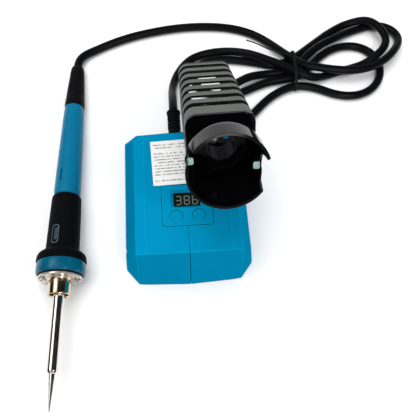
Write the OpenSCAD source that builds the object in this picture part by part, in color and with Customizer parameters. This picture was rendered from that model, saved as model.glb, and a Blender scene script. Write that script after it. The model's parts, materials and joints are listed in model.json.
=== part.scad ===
// Cordless-battery soldering station with its holder, iron and cord.
// Millimetres. X to the right, Y to the back, Z up; the origin is the centre
// of the station's underside, so the table is the plane z = 0.

/* [Station] */
// Width across the lower skirt
base_width = 82.6; // [80:0.2:86]
// Length between the points of the front and back edges
base_length = 112; // [108:0.5:116]
// Width of the flat top
top_width = 52.2; // [48:0.2:56]
// Height of the flat top above the table
station_height = 36; // [34:0.5:38]
// Shell wall
wall = 2.4; // [2:0.1:3]
// Button cap diameter
button_diameter = 7.9; // [7:0.1:8.1]
// How far a button goes down
button_travel = 0.6; // [0.3:0.1:0.8]
// Space left between a button and its hole
button_gap = 0.3; // [0.2:0.05:0.4]

/* [Battery slide] */
// Clear width between the two rail webs
slide_width = 59; // [56:0.5:60]
// Clear width between the two rail lips
slide_mouth = 52; // [50:0.5:53]
// Clear height above the rail lips
slide_groove = 7.6; // [6:0.2:8]

/* [Holder] */
// Angle of the holder above level
holder_pitch = 33; // [28:1:38]
// Outside radius of the mouth at its front
mouth_radius = 21; // [20:0.1:22]
// Pitch of the cooling slots
slot_pitch = 10; // [9:0.1:11]
// Width of one cooling slot
slot_width = 4.8; // [3:0.1:5]

/* [Iron] */
// Radius of the black flange that the iron rests on
flange_radius = 15.4; // [15:0.1:16]
// Radius of the boot's thick end, which rests on the table
boot_radius = 7.1; // [7:0.05:7.5]
// Radius of the steel barrel
barrel_radius = 3.4; // [3.2:0.05:3.6]
// Length from the plate's front face to the point of the tip
point_length = 76.8; // [70:0.1:80]
// Length from the plate's front face to the end of the boot
rear_length = 169; // [165:0.5:175]

/* [Cord] */
// Cord diameter
cord_diameter = 6.2; // [5.8:0.1:6.4]

/* [Hidden] */

half_w = base_width / 2;
half_l = base_length / 2;
half_t = top_width / 2;
top_z = station_height;
button_x = 7;
button_y = -21.8;
// play of a screw in its hole, on the radius
screw_gap = 0.06;

// where the fixings stand
cover_screw_x = [-20, 20];
cover_screw_y = [-38, 30];
board_screw_x = [-19, 19];
board_screw_y = [-12, 16];
foot_screw_x = [11.5, 21];
foot_screw_y = 4;
cage_screw_y = [67.6, 77.6];

// upper face of the circuit board, lower face of the deck over the battery, half width of the deck
board_z = 25.6;
deck_z = 13.2;
deck_half = 35.2;
rail_half = 31.4;
rail_from = -30;
rail_length = 68;
lip_height = 2.8;
back_opening = 63.2;

// display window and key panel
window_y = -10.2;
window = [16.8, 9.6];
panel_y = -14.6;
panel = [32, 28.2];
groove_depth = 0.6;
// half width of one bar of a digit
bar_half = 0.24;

// centre of the strain relief
relief_x = -5.2;
relief_z = 22;

// pose of the holder: centre of its mouth, turned slightly to the right
mouth_at = [19.4, -29.5, 106.8];
holder_yaw = 2;
cage_bottom = -18.2;
cage_front = 28.5;
cage_rear = 111;
// thickness of the sleeve's sheet and of its two end plates
sleeve_wall = 1.4;
plate_wall = 2.4;
slots_over = 7;

// the iron lies on its flange and on the thick end of the boot
boot_seat = 134.7;
flange_seat = 11;
iron_tilt = atan((flange_radius - boot_radius) / (boot_seat - flange_seat));
iron_z = flange_seat * sin(iron_tilt) + flange_radius * cos(iron_tilt);
iron_at = [-80.8, -51.2, iron_z];
iron_yaw = -1.4;

// the cord's centre line, from the boot to the strain relief
cord_route = [
  // round the bend behind the boot and along the back
  [-76.7, 117.7, 4.85], [-76, 125, 4.5], [-71.4, 131, 4], [-64, 135.4, 3.4], [-53.5, 141, 3.1],
  [-37, 147.6, 3.1], [-17, 152.8, 3.1], [4, 156, 3.1], [25, 156.5, 3.1], [45, 154, 3.1],
  [62, 147.5, 3.1], [74, 138, 3.6], [82, 127, 6.5],
  // over the bundle and round the second loop on the right
  [88, 117, 10.4], [96, 110, 10.3], [107, 107, 9.9], [121, 104, 9.8], [136, 102.5, 9.8],
  [150, 104.5, 10], [163, 111, 10.2], [173.5, 121, 9], [180.5, 131.5, 6.2], [181.8, 141, 4.2],
  [177, 148.5, 3.3],
  [167.5, 152, 3.1], [155, 150, 3.1], [141, 145, 3.1], [129, 138.5, 5.2], [116, 130.4, 7.6],
  [104, 121.6, 6.8], [94, 113, 3.6],
  // first loop on the left, over the second one
  [81, 108, 3.3], [67, 106.5, 3.3], [55, 102.5, 6.4], [44, 94.5, 9.7], [35.5, 88.5, 9.8],
  [29, 81.5, 8.6],
  [26.4, 73.5, 6.2], [29.6, 65.8, 4.2], [36.5, 61.8, 3.3], [44.3, 62.3, 3.1], [51.5, 67.8, 3.1],
  [59.5, 75.5, 3.1], [68.5, 84, 3.1], [81, 91.5, 3.4],
  // third loop on the right
  [94, 94.5, 3.5], [108, 91.5, 3.1], [121, 85.5, 3.1], [135.5, 83.5, 3.1], [149, 88, 3.1],
  [158.5, 98.5, 3.1], [161.5, 112, 3.1], [157, 124, 3.1], [146, 131, 3.1], [131.5, 131, 3.1],
  [118, 124.5, 3.1], [106, 114, 3.1], [96, 104.5, 3.6],
  // second loop on the left
  [83, 101, 3.4], [69, 99, 3.1], [56, 94, 3.1], [43, 89, 3.1], [28.5, 89, 3.1], [17.5, 93.5, 3.1],
  [12, 104, 3.1], [15, 115, 3.1], [25, 121.5, 3.1], [38, 122.5, 3.1], [50, 121, 3.1], [62, 118.5, 3.1],
  [76, 115, 3.4],
  // first loop on the right
  [90, 119.3, 3.6], [101.5, 127.5, 3.1], [114, 137, 3.1], [128, 147, 3.1], [142, 153.5, 4.2],
  [157, 151.8, 9.8], [167, 142, 9.8], [168.5, 129.5, 9.8], [160.5, 118.5, 9.8], [147.5, 111.5, 5],
  [132, 108, 3.1],
  [117.5, 103.5, 3.1], [105.5, 99.4, 6.8], [94.5, 101.5, 10.1],
  // back over the bundle and down the left side to the strain relief
  [83, 108.5, 10.1], [70, 115.5, 9.9], [57, 122, 9.4], [43, 128, 6], [27, 129.5, 3.3], [12, 124.5, 3.1],
  [2.5, 114.5, 3.1], [-3, 103, 3.6], [-5, 91, 8], [-5.2, 79, 15.5], [-5.2, 70, 20.4], [-5.2, 62.8, 22]
];
cord_sides = 8;

function unit(v) = v / norm(v);
function heading(i) = let (n = len(cord_route))
  i == 0 ? unit([0.024, 0.998, -0.065])
  : i == n - 1 ? [0, -1, 0]
  : unit(cord_route[i + 1] - cord_route[i - 1]);
function ring_x(i) = unit(cross(heading(i), [0, 0, 1]));
function ring_y(i) = cross(ring_x(i), heading(i));
cord_reach = cord_diameter / 2 / cos(180 / cord_sides) * 0.98;
function ring_point(i, k) = let (a = 360 * (k + 0.5) / cord_sides)
  cord_route[i] + cord_reach * (cos(a) * ring_x(i) + sin(a) * ring_y(i));

// ---- outlines of the station body, from the front centre round the right side to the back centre
lip_ring = [[0, -half_l], [28.3, -54.6], [33.5, -54], [36, -50.7], [half_w, -44.2], [half_w, 47.4],
  [33, 54.2], [0, half_l]];
skirt_ring = [[0, -55.2], [28.2, -53.8], [33.3, -53.2], [35.7, -50.3], [half_w, -44.2], [half_w, 47.4],
  [33, 54.2], [0, half_l]];
bend_ring = [[0, -53], [33, -50], [half_w, -36.5], [half_w, 47.4], [33, 54.2], [0, half_l]];
edge_ring = [[0, -46.3], [25.7, -46], [32.4, -44.5], [32.4, 33.6], [26.6, 37.8], [0, 38.5]];
top_ring = [[0, -45.6], [half_t - 0.6, -45.4], [half_t, -45.2], [half_t, 35.2], [half_t - 0.6, 35.9],
  [0, 36.9]];
skirt_z = 2;
bend_z = 6.5;
edge_z = 33.5;

function inset(ring, d) = [for (p = ring) [max(p[0] - d, 0), p[1] - sign(p[1]) * d]];
function both_sides(ring) = concat(ring, [for (i = [len(ring) - 2:-1:1]) [-ring[i][0], ring[i][1]]]);
module layer(z, h, ring) {
  translate([0, 0, z]) linear_extrude(height = h) polygon(both_sides(ring));
}

module body_outside() {
  hull() {
    layer(0, 0.7, lip_ring);
    layer(skirt_z, 0.1, skirt_ring);
    layer(bend_z, 0.1, bend_ring);
    layer(edge_z, 0.1, edge_ring);
    layer(top_z - 0.1, 0.1, top_ring);
  }
}

module body_inside() {
  hull() {
    layer(-1, 0.1, inset(skirt_ring, wall));
    layer(bend_z, 0.1, inset(bend_ring, wall));
    layer(edge_z - 2, 0.1, inset(edge_ring, wall));
    layer(top_z - 0.1 - wall, 0.1, inset(top_ring, wall));
  }
}

module round_box(x, y, z, r) {
  linear_extrude(height = z) offset(r = r, $fn = 24) square([x - 2 * r, y - 2 * r], center = true);
}

module screw_holes(xs, ys, z, d, h) {
  for (x = xs, y = ys) translate([x, y, z]) cylinder(d = d, h = h, $fn = 32);
}

module top_shell() {
  color("#1a8fb5") difference() {
    union() {
      difference() { body_outside(); body_inside(); }
      // posts under the top: for the cover screws, for the board and for the bracket screws
      screw_holes(cover_screw_x, cover_screw_y, 17.6, 7, top_z - 18);
      screw_holes(board_screw_x, board_screw_y, board_z + 0.1, 5.4, top_z - board_z - 0.4);
      screw_holes(foot_screw_x, foot_screw_y, 27.2, 5.6, top_z - 28);
    }
    screw_holes(cover_screw_x, cover_screw_y, 17, 3 + 2 * screw_gap, 11);
    screw_holes(board_screw_x, board_screw_y, 25, 2 + 2 * screw_gap, 7);
    screw_holes(foot_screw_x, foot_screw_y, 27, 3 + 2 * screw_gap, 12);
    // back opening for the battery
    translate([-back_opening / 2, 40, -1]) cube([back_opening, 20, deck_z + 1]);
    // display window with sloping sides
    hull() {
      translate([0, window_y, top_z - 1.8]) round_box(window[0], window[1], 0.1, 1);
      translate([0, window_y, top_z]) round_box(window[0] + 4, window[1] + 3.8, 0.1, 1.8);
    }
    translate([0, window_y, top_z - 3]) round_box(window[0], window[1], 2, 1);
    // button holes
    screw_holes([-button_x, button_x], button_y, top_z - 4, button_diameter + 2 * button_gap, 5);
    // groove round the key panel
    translate([0, panel_y, top_z - groove_depth]) difference() {
      round_box(panel[0], panel[1], 1, 2.6);
      translate([0, 0, -0.1]) round_box(panel[0] - 1.1, panel[1] - 1.1, 1.2, 2.1);
    }
    // mould line from the panel over the front edge and down the front
    translate([-0.3, -46, top_z - 0.5]) cube([0.6, 17.4, 1]);
    translate([-0.3, -45.6, top_z]) rotate([-15.8, 0, 0]) translate([0, -0.5, -40]) cube([0.6, 1, 40]);
    // small notch in the left side
    translate([-half_w - 0.6, -32.9, -1]) rotate([0, 0, 45]) translate([-1.7, -1.7, 0]) cube([3.4, 3.4, 14]);
    // hole for the strain relief
    translate([relief_x, 38, relief_z]) rotate([-90, 0, 0]) cylinder(d = 8.7, h = 20, $fn = 32);
  }
}

module bottom_cover() {
  color("#20262b") difference() {
    union() {
      translate([0, 0, deck_z]) linear_extrude(height = 2.2)
        polygon(both_sides([[0, -46], [27, -46], [deck_half, -34], [deck_half, 37], [29, 43.6],
          [0, 43.6]]));
      screw_holes(cover_screw_x, cover_screw_y, deck_z + 2.1, 9, 2.3);
      // rails for the battery, each a web with a lip along its foot
      rail_z = deck_z - slide_groove - lip_height;
      for (side = [0, 1]) mirror([side, 0, 0]) translate([0, rail_from, rail_z]) {
        translate([slide_width / 2, 0, 0])
          cube([rail_half - slide_width / 2, rail_length, slide_groove + lip_height]);
        translate([slide_mouth / 2, 0, 0]) cube([rail_half - slide_mouth / 2, rail_length, lip_height]);
      }
    }
    screw_holes(cover_screw_x, cover_screw_y, deck_z - 0.2, 3.3, 6);
    screw_holes(cover_screw_x, cover_screw_y, deck_z - 0.2, 6.2, 2.4);
    // pocket for the battery's latch
    translate([-9, 34, deck_z - 0.2]) cube([18, 4.5, 3]);
  }
}

module pan_screw(d, l, head_d, head_h) {
  // head down at z = 0, thread up
  difference() {
    union() {
      cylinder(d = head_d, h = head_h, $fn = 32);
      translate([0, 0, head_h - 0.01]) cylinder(d = d, h = l + 0.01, $fn = 32);
    }
    for (a = [0, 90]) rotate([0, 0, a]) translate([-head_d * 0.3, -0.3, -0.1])
      cube([head_d * 0.6, 0.6, head_h * 0.55]);
  }
}

module cover_screws() {
  color("#9aa0a4") for (x = cover_screw_x, y = cover_screw_y) translate([x, y, deck_z + 0.2])
    pan_screw(3, 11, 5.6, 2);
}

module control_board() {
  color("#1f6b3a") difference() {
    translate([-23, -42, board_z - 1.6]) cube([46, 64, 1.6]);
    screw_holes(cover_screw_x, cover_screw_y[0], 23, 7.8, 4);
    screw_holes(board_screw_x, board_screw_y, 23, 2.4, 4);
  }
}

module board_parts() {
  // parts on the upper face, and two on the lower face
  color("#2b2b2e") {
    translate([-14, 2, board_z]) cube([9, 7, 1.5]);
    translate([3, 3, board_z]) cube([6, 5, 1.4]);
    translate([-8, 12, board_z]) cube([16, 6, 4.5]);
    translate([12.6, -34, board_z]) cube([6, 5, 2.2]);
    translate([-18.6, -32, board_z]) cube([4, 8, 1.2]);
    translate([0, -38, board_z]) cylinder(d = 6.3, h = 7, $fn = 32);
    translate([-12, -34, 19.5]) cube([10, 9, 4.5]);
    translate([4, -20, 20.8]) cube([10, 15, 3.2]);
  }
}

module board_screws() {
  color("#9aa0a4") for (x = board_screw_x, y = board_screw_y) translate([x, y, board_z - 3])
    pan_screw(2, 6.6, 4, 1.4);
}

module display_module() {
  color("#161c1a") translate([-11.4, window_y - 6.7, board_z]) cube([22.8, 13.4, top_z - board_z - 3]);
}

module bar(x0, y0, x1, y1) {
  a = atan2(y1 - y0, x1 - x0);
  l = norm([x1 - x0, y1 - y0]);
  t = bar_half;
  e = 0.15; // gap left at each end
  translate([x0, y0, 0]) rotate([0, 0, a]) linear_extrude(height = 0.12)
    polygon([[e, 0], [e + t, t], [l - e - t, t], [l - e, 0], [l - e - t, -t], [e + t, -t]]);
}

module digit(lit) {
  w = 3.1; h = 2.8;
  ends = [[0, 2 * h, w, 2 * h], [w, 2 * h, w, h], [w, h, w, 0], [0, 0, w, 0], [0, h, 0, 0],
    [0, 2 * h, 0, h], [0, h, w, h]];
  for (i = lit) bar(ends[i][0] - w / 2, ends[i][1] - h, ends[i][2] - w / 2, ends[i][3] - h);
}

module display_digits() {
  color("#e9efe6") translate([0, window_y - 0.1, top_z - 3]) {
    translate([-5.2, 0, 0]) digit([0, 1, 2, 3, 6]);
    digit([0, 1, 2, 3, 4, 5, 6]);
    translate([5.2, 0, 0]) digit([0, 1, 2, 3, 4, 5, 6]);
  }
}

module key_switches() {
  color("#3a3d40") for (x = [-button_x, button_x]) translate([x, button_y, board_z]) difference() {
    translate([-3, -3, 0]) cube([6, 6, 3.4]);
    translate([0, 0, 2.4]) cylinder(d = 3.4, h = 2, $fn = 32);
  }
}

module button_cap() {
  translate([0, 0, top_z - 3.2]) cylinder(d = button_diameter, h = 3.1, $fn = 48);
  translate([0, 0, top_z - 3.5]) cylinder(d = 9.6, h = 0.8, $fn = 48);
  translate([0, 0, 29.3]) cylinder(d = 3, h = top_z - 32, $fn = 32);
}
module button_up() { color("#1a8fb5") translate([-button_x, button_y, 0]) button_cap(); }
module button_down() { color("#1a8fb5") translate([button_x, button_y, 0]) button_cap(); }

module contact_block() {
  color("#15181b") difference() {
    translate([-17, -41, deck_z - 6.8]) cube([34, 13, 6.8]);
    for (x = [-11.5, 11.5]) translate([x - 0.4, -36, 7.2]) cube([0.8, 9, 5.4]);
    translate([-0.4, -34, 7.2]) cube([0.8, 7, 5.4]);
  }
}

module contact_blades() {
  color("#c9a648") {
    for (x = [-11.5, 11.5]) translate([x - 0.4, -36, 7.2]) cube([0.8, 22, 5.4]);
    translate([-0.4, -34, 7.2]) cube([0.8, 16, 5.4]);
  }
}

module strain_relief() {
  color("#15171a") translate([relief_x, 0, relief_z]) rotate([-90, 0, 0]) {
    translate([0, 0, 34.6]) cylinder(d = 12, h = 1.8, $fn = 32);
    translate([0, 0, 36.2]) cylinder(d = 8.4, h = 12.8, $fn = 32);
    translate([0, 0, 46]) cylinder(d = 7.2, h = 16.6, $fn = 32);
    for (i = [0:4]) translate([0, 0, 48.6 + i * 2.6]) cylinder(d = 9, h = 1.5, $fn = 32);
    translate([0, 0, 60.8]) cylinder(d = 9.7, h = 1.8, $fn = 32);
  }
}

module info_label() {
  color("#f2f2ee") translate([-21.6, -0.9, top_z]) rotate([0, 0, 2.2]) translate([1.3, 0, 0])
    cube([24, 32, 0.16]);
}

// ---- holder: local y runs from the mouth to the back along its axis
module at_holder() {
  translate(mouth_at) rotate([0, 0, holder_yaw]) rotate([-holder_pitch, 0, 0]) children();
}

module holder_bracket() {
  color("#1b1e20") difference() {
    union() {
      // hollow foot that the holder leans on
      difference() {
        translate([7.4, 7.5, top_z]) cube([17.6, 26.5, 34]);
        translate([9.8, 10.2, top_z + 3]) cube([12.8, 20.6, 40]);
      }
      // bosses for the two screws that come down through the cage
      intersection() {
        at_holder() for (y = cage_screw_y) translate([0, y, cage_bottom - 9])
          cylinder(d = 6.4, h = 10, $fn = 32);
        translate([9.6, 10, top_z]) cube([13.2, 21, 34]);
      }
      at_holder() for (y = cage_screw_y) translate([-7, y - 1, cage_bottom - 9])
        cube([14, 2, 10]);
      translate([7.4, 0.6, top_z]) cube([17.6, 8, 3]);
    }
    at_holder() translate([-30, 20, cage_bottom]) cube([60, 100, 60]);
    at_holder() screw_holes(0, cage_screw_y, cage_bottom - 8, 3 + 2 * screw_gap, 9);
    screw_holes(foot_screw_x, foot_screw_y, top_z - 1, 3.3, 5);
  }
}

module bracket_screws() {
  color("#9aa0a4") for (x = foot_screw_x) translate([x, foot_screw_y, top_z + 5]) rotate([180, 0, 0])
    pan_screw(3, 8.6, 5.6, 2);
}

module cage_screws() {
  color("#9aa0a4") at_holder() for (y = cage_screw_y) translate([0, y, cage_bottom + sleeve_wall + 2])
    rotate([180, 0, 0]) pan_screw(3, 8.6, 5.6, 2);
}

// a thin slice of the cage's section: half width w, from z = lo to z = hi, corner radius r
module cage_slab(y, w, lo, hi, r) {
  translate([0, y, 0]) rotate([-90, 0, 0]) linear_extrude(height = 0.1)
    translate([0, -(lo + hi) / 2]) offset(r = r, $fn = 32)
      square([2 * w - 2 * r, hi - lo - 2 * r], center = true);
}

// the tapered block from y0 to y1, smaller all round by d
module cage_block(y0, y1, d) {
  intersection() {
    hull() {
      cage_slab(cage_front, 18.4 - d, cage_bottom + d, 17.8 - d, 6 - d);
      cage_slab(cage_rear - 0.1, 16.6 - d, cage_bottom + d, 18.4 - d, 6 - d);
    }
    translate([-30, y0, -30]) cube([60, y1 - y0, 60]);
  }
}

module holder_cage() {
  color("#26282a") at_holder() difference() {
    cage_block(cage_front + plate_wall, cage_rear - plate_wall, 0);
    cage_block(cage_front, cage_rear, sleeve_wall);
    // slots over the top and down both sides, and shorter ones underneath
    for (i = [0:slots_over - 1]) translate([0, cage_rear - 8.4 - i * slot_pitch, 0]) {
      translate([-25, -slot_width / 2, -11]) cube([50, slot_width, 40]);
      translate([-10.5, -slot_width / 2, cage_bottom - 1]) cube([21, slot_width, 4]);
    }
    screw_holes(0, cage_screw_y, cage_bottom - 1, 3.3, 5);
  }
}

module cage_end(y, hole) {
  at_holder() difference() {
    cage_block(y, y + plate_wall, 0);
    translate([0, y - 1, 0]) rotate([-90, 0, 0]) cylinder(r = hole, h = plate_wall + 2, $fn = 48);
  }
}
module cage_front_plate() { color("#101214") cage_end(cage_front, 9.9); }
module cage_back_plate() { color("#101214") cage_end(cage_rear - plate_wall, 10.8); }

module turned(p, n) { rotate([-90, 0, 0]) rotate_extrude($fn = n) polygon(p); }
module side_cut(p, s) {
  translate([s > 0 ? 6 : -30, 0, 0]) rotate([90, 0, 90]) linear_extrude(height = 24) polygon(p);
}

module holder_mouth() {
  color("#141618") at_holder() difference() {
    turned([[8.2, 35], [9.8, 35], [9.8, 28.5], [14.2, 28.5], [20.3, 14], [mouth_radius, 0],
      [mouth_radius - 1.8, 0], [18.6, 13.6], [12.6, 26.6], [8.2, 29]], 64);
    // gap on the right between the hood and the scoop
    side_cut([[-1, 5.8], [8, 3.8], [13, 2], [15.5, -2], [14.5, -6], [9, -10.3], [-1, -12.2]], 1);
    // narrower gap on the left
    side_cut([[-1, 12.4], [14, 9.6], [16, 5], [12, 2], [-1, 6.3]], -1);
  }
}

module neck_sleeve() {
  color("#b9bcc0") at_holder() turned([[7.4, 28], [8.15, 28], [8.15, 42], [7.4, 42]], 48);
}

module side_clips() {
  color("#cfd6d8") at_holder() {
    // each is a strip along the wall with an ear bent inwards
    translate([16.1, 8.6, -4.2]) cube([0.8, 10.5, 1.6]);
    translate([13.4, 8.6, -4.2]) cube([3.5, 0.8, 4.2]);
    translate([-18.6, 5.2, 2.9]) cube([0.8, 9, 1.6]);
    translate([-19.4, 5.2, 2.9]) cube([3.2, 0.8, 3.9]);
  }
}

// ---- iron: local z runs from the plate's front face towards the point
module at_iron() {
  translate(iron_at) rotate([0, 0, iron_yaw]) rotate([-iron_tilt, 0, 0]) rotate([90, 0, 0]) children();
}
module spun(p, n) { rotate_extrude($fn = n) polygon(p); }

module tip() {
  color("#b8babd") at_iron() spun([[0, point_length], [0.3, point_length - 0.3], [2.1, 57.6], [2.1, 52.4],
    [2.8, 52.2], [2.8, 16], [2, 16], [2, 48], [0, 48]], 32);
}

module barrel() {
  color("#a9abae") at_iron() spun([[2.9, -16], [barrel_radius, -16], [barrel_radius, 1.02], [5.4, 1.02],
    [5.4, 2], [barrel_radius, 2], [barrel_radius, 55.2], [2.9, 56.4], [2.2, 56.4], [2.2, 52.5],
    [2.9, 52.5]], 48);
}

module heater_rod() {
  color("#e8e4da") at_iron() spun([[0, 47.6], [1.9, 47.2], [1.9, -30], [0, -30]], 32);
}

plate_screw_at = [[-9.7, 5.6], [10.3, -0.5]];
module at_plate_screws(z) {
  for (p = plate_screw_at) translate([p[0], p[1], z]) children();
}

module collar_plate() {
  color("#c9b98f") at_iron() difference() {
    spun([[3.5, 1], [3.5, -0.4], [13.5, -0.4], [13.5, 1], [7.8, 1], [7, 1.8], [7, 9.9], [7.1, 10.5],
      [6.9, 11], [6.2, 11], [5.6, 10.2], [5.6, 1]], 64);
    at_plate_screws(-2) cylinder(d = 2.4, h = 4, $fn = 24);
    // two locating slots in the plate, on the left
    translate([-9, 0.6, -2]) cube([0.9, 3, 4]);
    rotate([0, 0, 218]) translate([9.9, -1.8, -2]) cube([1.2, 3.6, 4]);
  }
}

module plate_screws() {
  color("#c2c4c6") at_iron() at_plate_screws(2.5) rotate([180, 0, 0]) pan_screw(2.2, 7, 3.6, 1.48);
}

module front_ring() {
  color("#1a86ab") at_iron() spun([[13.4, -9.6], [14.9, -9.6], [15.1, -7], [15.1, -4], [14.7, -2.2],
    [14.1, -1.4], [13.4, -1.3]], 64);
}

module grip() {
  color("#101214") at_iron() difference() {
    spun([[6.6, -56.7], [8.4, -56.7], [9.5, -54.9], [10.35, -20], [10.7, -17.2], [12.6, -16.4], [14.4, -15],
      [15.2, -13.2], [flange_radius, -flange_seat], [flange_radius, -9.6], [13.35, -9.6], [13.35, -0.4],
      [6.6, -0.4]], 64);
    at_plate_screws(-6.4) cylinder(d = 2.2 + 2 * screw_gap, h = 8, $fn = 24);
  }
}

module handle() {
  color("#1a8fb5") at_iron() difference() {
    spun([[5, -130.6], [6.85, -130.6], [8.05, -92], [8.7, -61.3], [8.3, -57.7], [7.4, -56.7], [6.55, -56.7],
      [6.55, -1], [3.6, -1], [3.6, -16], [5, -18]], 64);
    // small slots in the handle wall
    for (s = [[112, -75], [160, -78], [150, -123]]) rotate([0, 0, s[0]]) translate([4, -0.6, s[1]])
      cube([6, 1.2, 9.4]);
  }
}

module lead_board() {
  color("#1f6b3a") at_iron() translate([-4.2, -0.6, -100]) cube([8.4, 1.2, 68]);
}

module boot() {
  color("#121416") at_iron() difference() {
    spun([[0, -125.8], [4.95, -125.8], [4.95, -130.6], [6.95, -130.6], [boot_radius, -131.8],
      [boot_radius, -boot_seat], [6.8, -138], [5, -166], [4.5, -rear_length + 0.6], [4.1, -rear_length],
      [0, -rear_length]], 48);
    for (i = [0:5]) translate([0, 0, -143.6 - i * 3.6]) difference() {
      cylinder(r = 9, h = 1.2, $fn = 48);
      translate([0, 0, -0.1]) cylinder(r = 6.05 - i * 0.24, h = 1.4, $fn = 48);
    }
  }
}

// ---- cord and its wire tie
function corner(i, k) = i * cord_sides + k % cord_sides;
module cord() {
  n = len(cord_route);
  sides = [0:cord_sides - 1];
  color("#121315") polyhedron(
    points = concat([for (i = [0:n - 1]) for (k = sides) ring_point(i, k)],
      [cord_route[0], cord_route[n - 1]]),
    faces = concat(
      [for (i = [0:n - 2]) for (k = sides) [corner(i, k), corner(i, k + 1), corner(i + 1, k + 1)]],
      [for (i = [0:n - 2]) for (k = sides) [corner(i, k), corner(i + 1, k + 1), corner(i + 1, k)]],
      [for (k = sides) [corner(0, k + 1), k, n * cord_sides]],
      [for (k = sides) [corner(n - 1, k), corner(n - 1, k + 1), n * cord_sides + 1]]));
}

module cord_tie() {
  band = [[-11.6, 3.9], [14, 3.9], [12.6, 10.2], [-3, 10.3]];
  color("#1c1d1f") {
    translate([89.2, 105.6, 0]) rotate([90, 0, 90]) linear_extrude(height = 2.2) difference() {
      offset(r = 3.8, $fn = 24) polygon(band);
      offset(r = 3.3, $fn = 24) polygon(band);
    }
    // loose end of the wire, pointing to the back left
    translate([88.9, 113, 14.6]) rotate([0, -99, -36]) cylinder(d = 1, h = 41, $fn = 16);
  }
}

top_shell();
bottom_cover();
cover_screws();
control_board();
board_parts();
board_screws();
display_module();
display_digits();
key_switches();
button_up();
button_down();
contact_block();
contact_blades();
strain_relief();
info_label();
holder_bracket();
bracket_screws();
cage_screws();
holder_cage();
cage_front_plate();
cage_back_plate();
holder_mouth();
neck_sleeve();
side_clips();
tip();
barrel();
heater_rod();
collar_plate();
plate_screws();
front_ring();
grip();
handle();
lead_board();
boot();
cord();
cord_tie();
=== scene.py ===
"""A battery soldering station, its iron in front and its cord in a loose bundle behind."""

import json
import math

import bmesh
import bpy
import numpy as np
from mathutils import Matrix, Vector


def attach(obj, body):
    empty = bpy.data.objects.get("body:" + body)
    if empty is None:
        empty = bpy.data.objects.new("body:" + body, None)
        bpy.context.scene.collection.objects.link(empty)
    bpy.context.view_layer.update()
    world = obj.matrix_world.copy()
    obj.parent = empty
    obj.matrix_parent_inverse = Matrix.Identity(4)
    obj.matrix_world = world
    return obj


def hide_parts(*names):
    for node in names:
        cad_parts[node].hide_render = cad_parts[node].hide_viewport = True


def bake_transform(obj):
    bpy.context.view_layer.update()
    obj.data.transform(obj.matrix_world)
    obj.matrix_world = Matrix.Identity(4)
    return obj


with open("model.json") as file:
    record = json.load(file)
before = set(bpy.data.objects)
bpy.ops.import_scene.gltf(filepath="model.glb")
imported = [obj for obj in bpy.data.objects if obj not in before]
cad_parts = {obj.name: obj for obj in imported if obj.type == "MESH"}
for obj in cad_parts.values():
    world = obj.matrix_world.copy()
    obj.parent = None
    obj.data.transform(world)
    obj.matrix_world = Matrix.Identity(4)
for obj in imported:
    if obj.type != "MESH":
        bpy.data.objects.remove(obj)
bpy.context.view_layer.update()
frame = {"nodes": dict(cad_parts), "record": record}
scene = bpy.context.scene
scene.view_settings.view_transform = "Standard"

MM = 0.001  # sizes below are in millimetres, as the frame's are in metres


def pose(at, yaw, pitch):
    """A part's place: its origin in millimetres, then its turns in degrees about Z and its own X."""
    turn = Matrix.Rotation(math.radians(yaw), 4, "Z") @ Matrix.Rotation(math.radians(pitch), 4, "X")
    return Matrix.Translation(Vector(at) * MM) @ turn


# ---- driving dimensions, the same as the frame's
TOP_Z = 36.0
WALL = 2.4
BUTTON_X, BUTTON_Y = 7.0, -21.8
HOLDER = pose((19.4, -29.5, 106.8), 2, -33)
CAGE_FRONT, CAGE_REAR, CAGE_BOTTOM = 28.5, 111.0, -18.2
FLANGE_R, BOOT_R, POINT, REAR = 15.4, 7.1, 76.8, 169.0
CAGE_WALL, SLEEVE_WALL, SLOT_W = 2.4, 1.4, 4.8
BOOT_SEAT, FLANGE_SEAT = 134.7, 11.0
TILT = math.atan((FLANGE_R - BOOT_R) / (BOOT_SEAT - FLANGE_SEAT))
IRON_Z = FLANGE_SEAT * math.sin(TILT) + FLANGE_R * math.cos(TILT)
IRON = pose((-80.8, -51.2, IRON_Z), -1.4, 90 - math.degrees(TILT))
PLATE_SCREWS = ((-9.7, 5.6), (10.3, -0.5))
CORD_D = 6.2
WORLD_GREY = 0.55  # strength of the even surround
CARD_REACH = 1.7  # metres from the middle, behind every light


# ---- camera
def add_camera():
    yaw, down, roll = (math.radians(a) for a in (9.7957, 67.4418, 5.8653))
    look = Vector((math.sin(yaw) * math.cos(down), math.cos(yaw) * math.cos(down), -math.sin(down)))
    level = Vector((math.cos(yaw), -math.sin(yaw), 0))
    up = level.cross(look)
    right = math.cos(roll) * level + math.sin(roll) * up
    upright = -math.sin(roll) * level + math.cos(roll) * up
    camera = bpy.data.objects.new("camera", bpy.data.cameras.new("camera"))
    turn = Matrix((right, upright, -look)).transposed().to_4x4()
    camera.matrix_world = Matrix.Translation((-0.00576, -0.13313, 0.31461)) @ turn
    camera.data.sensor_width = 36
    camera.data.lens = 41.78
    camera.data.clip_start = 0.01
    scene.collection.objects.link(camera)
    scene.camera = camera


add_camera()


# ---- material building blocks
def new_material(name):
    mat = bpy.data.materials.new(name)
    mat.use_nodes = True
    tree = mat.node_tree
    return mat, tree, tree.nodes["Principled BSDF"]


def node(tree, kind, **values):
    made = tree.nodes.new(kind)
    for key, value in values.items():
        if hasattr(made, key):
            setattr(made, key, value)
        else:
            made.inputs[key.replace("_", " ")].default_value = value
    return made


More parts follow.
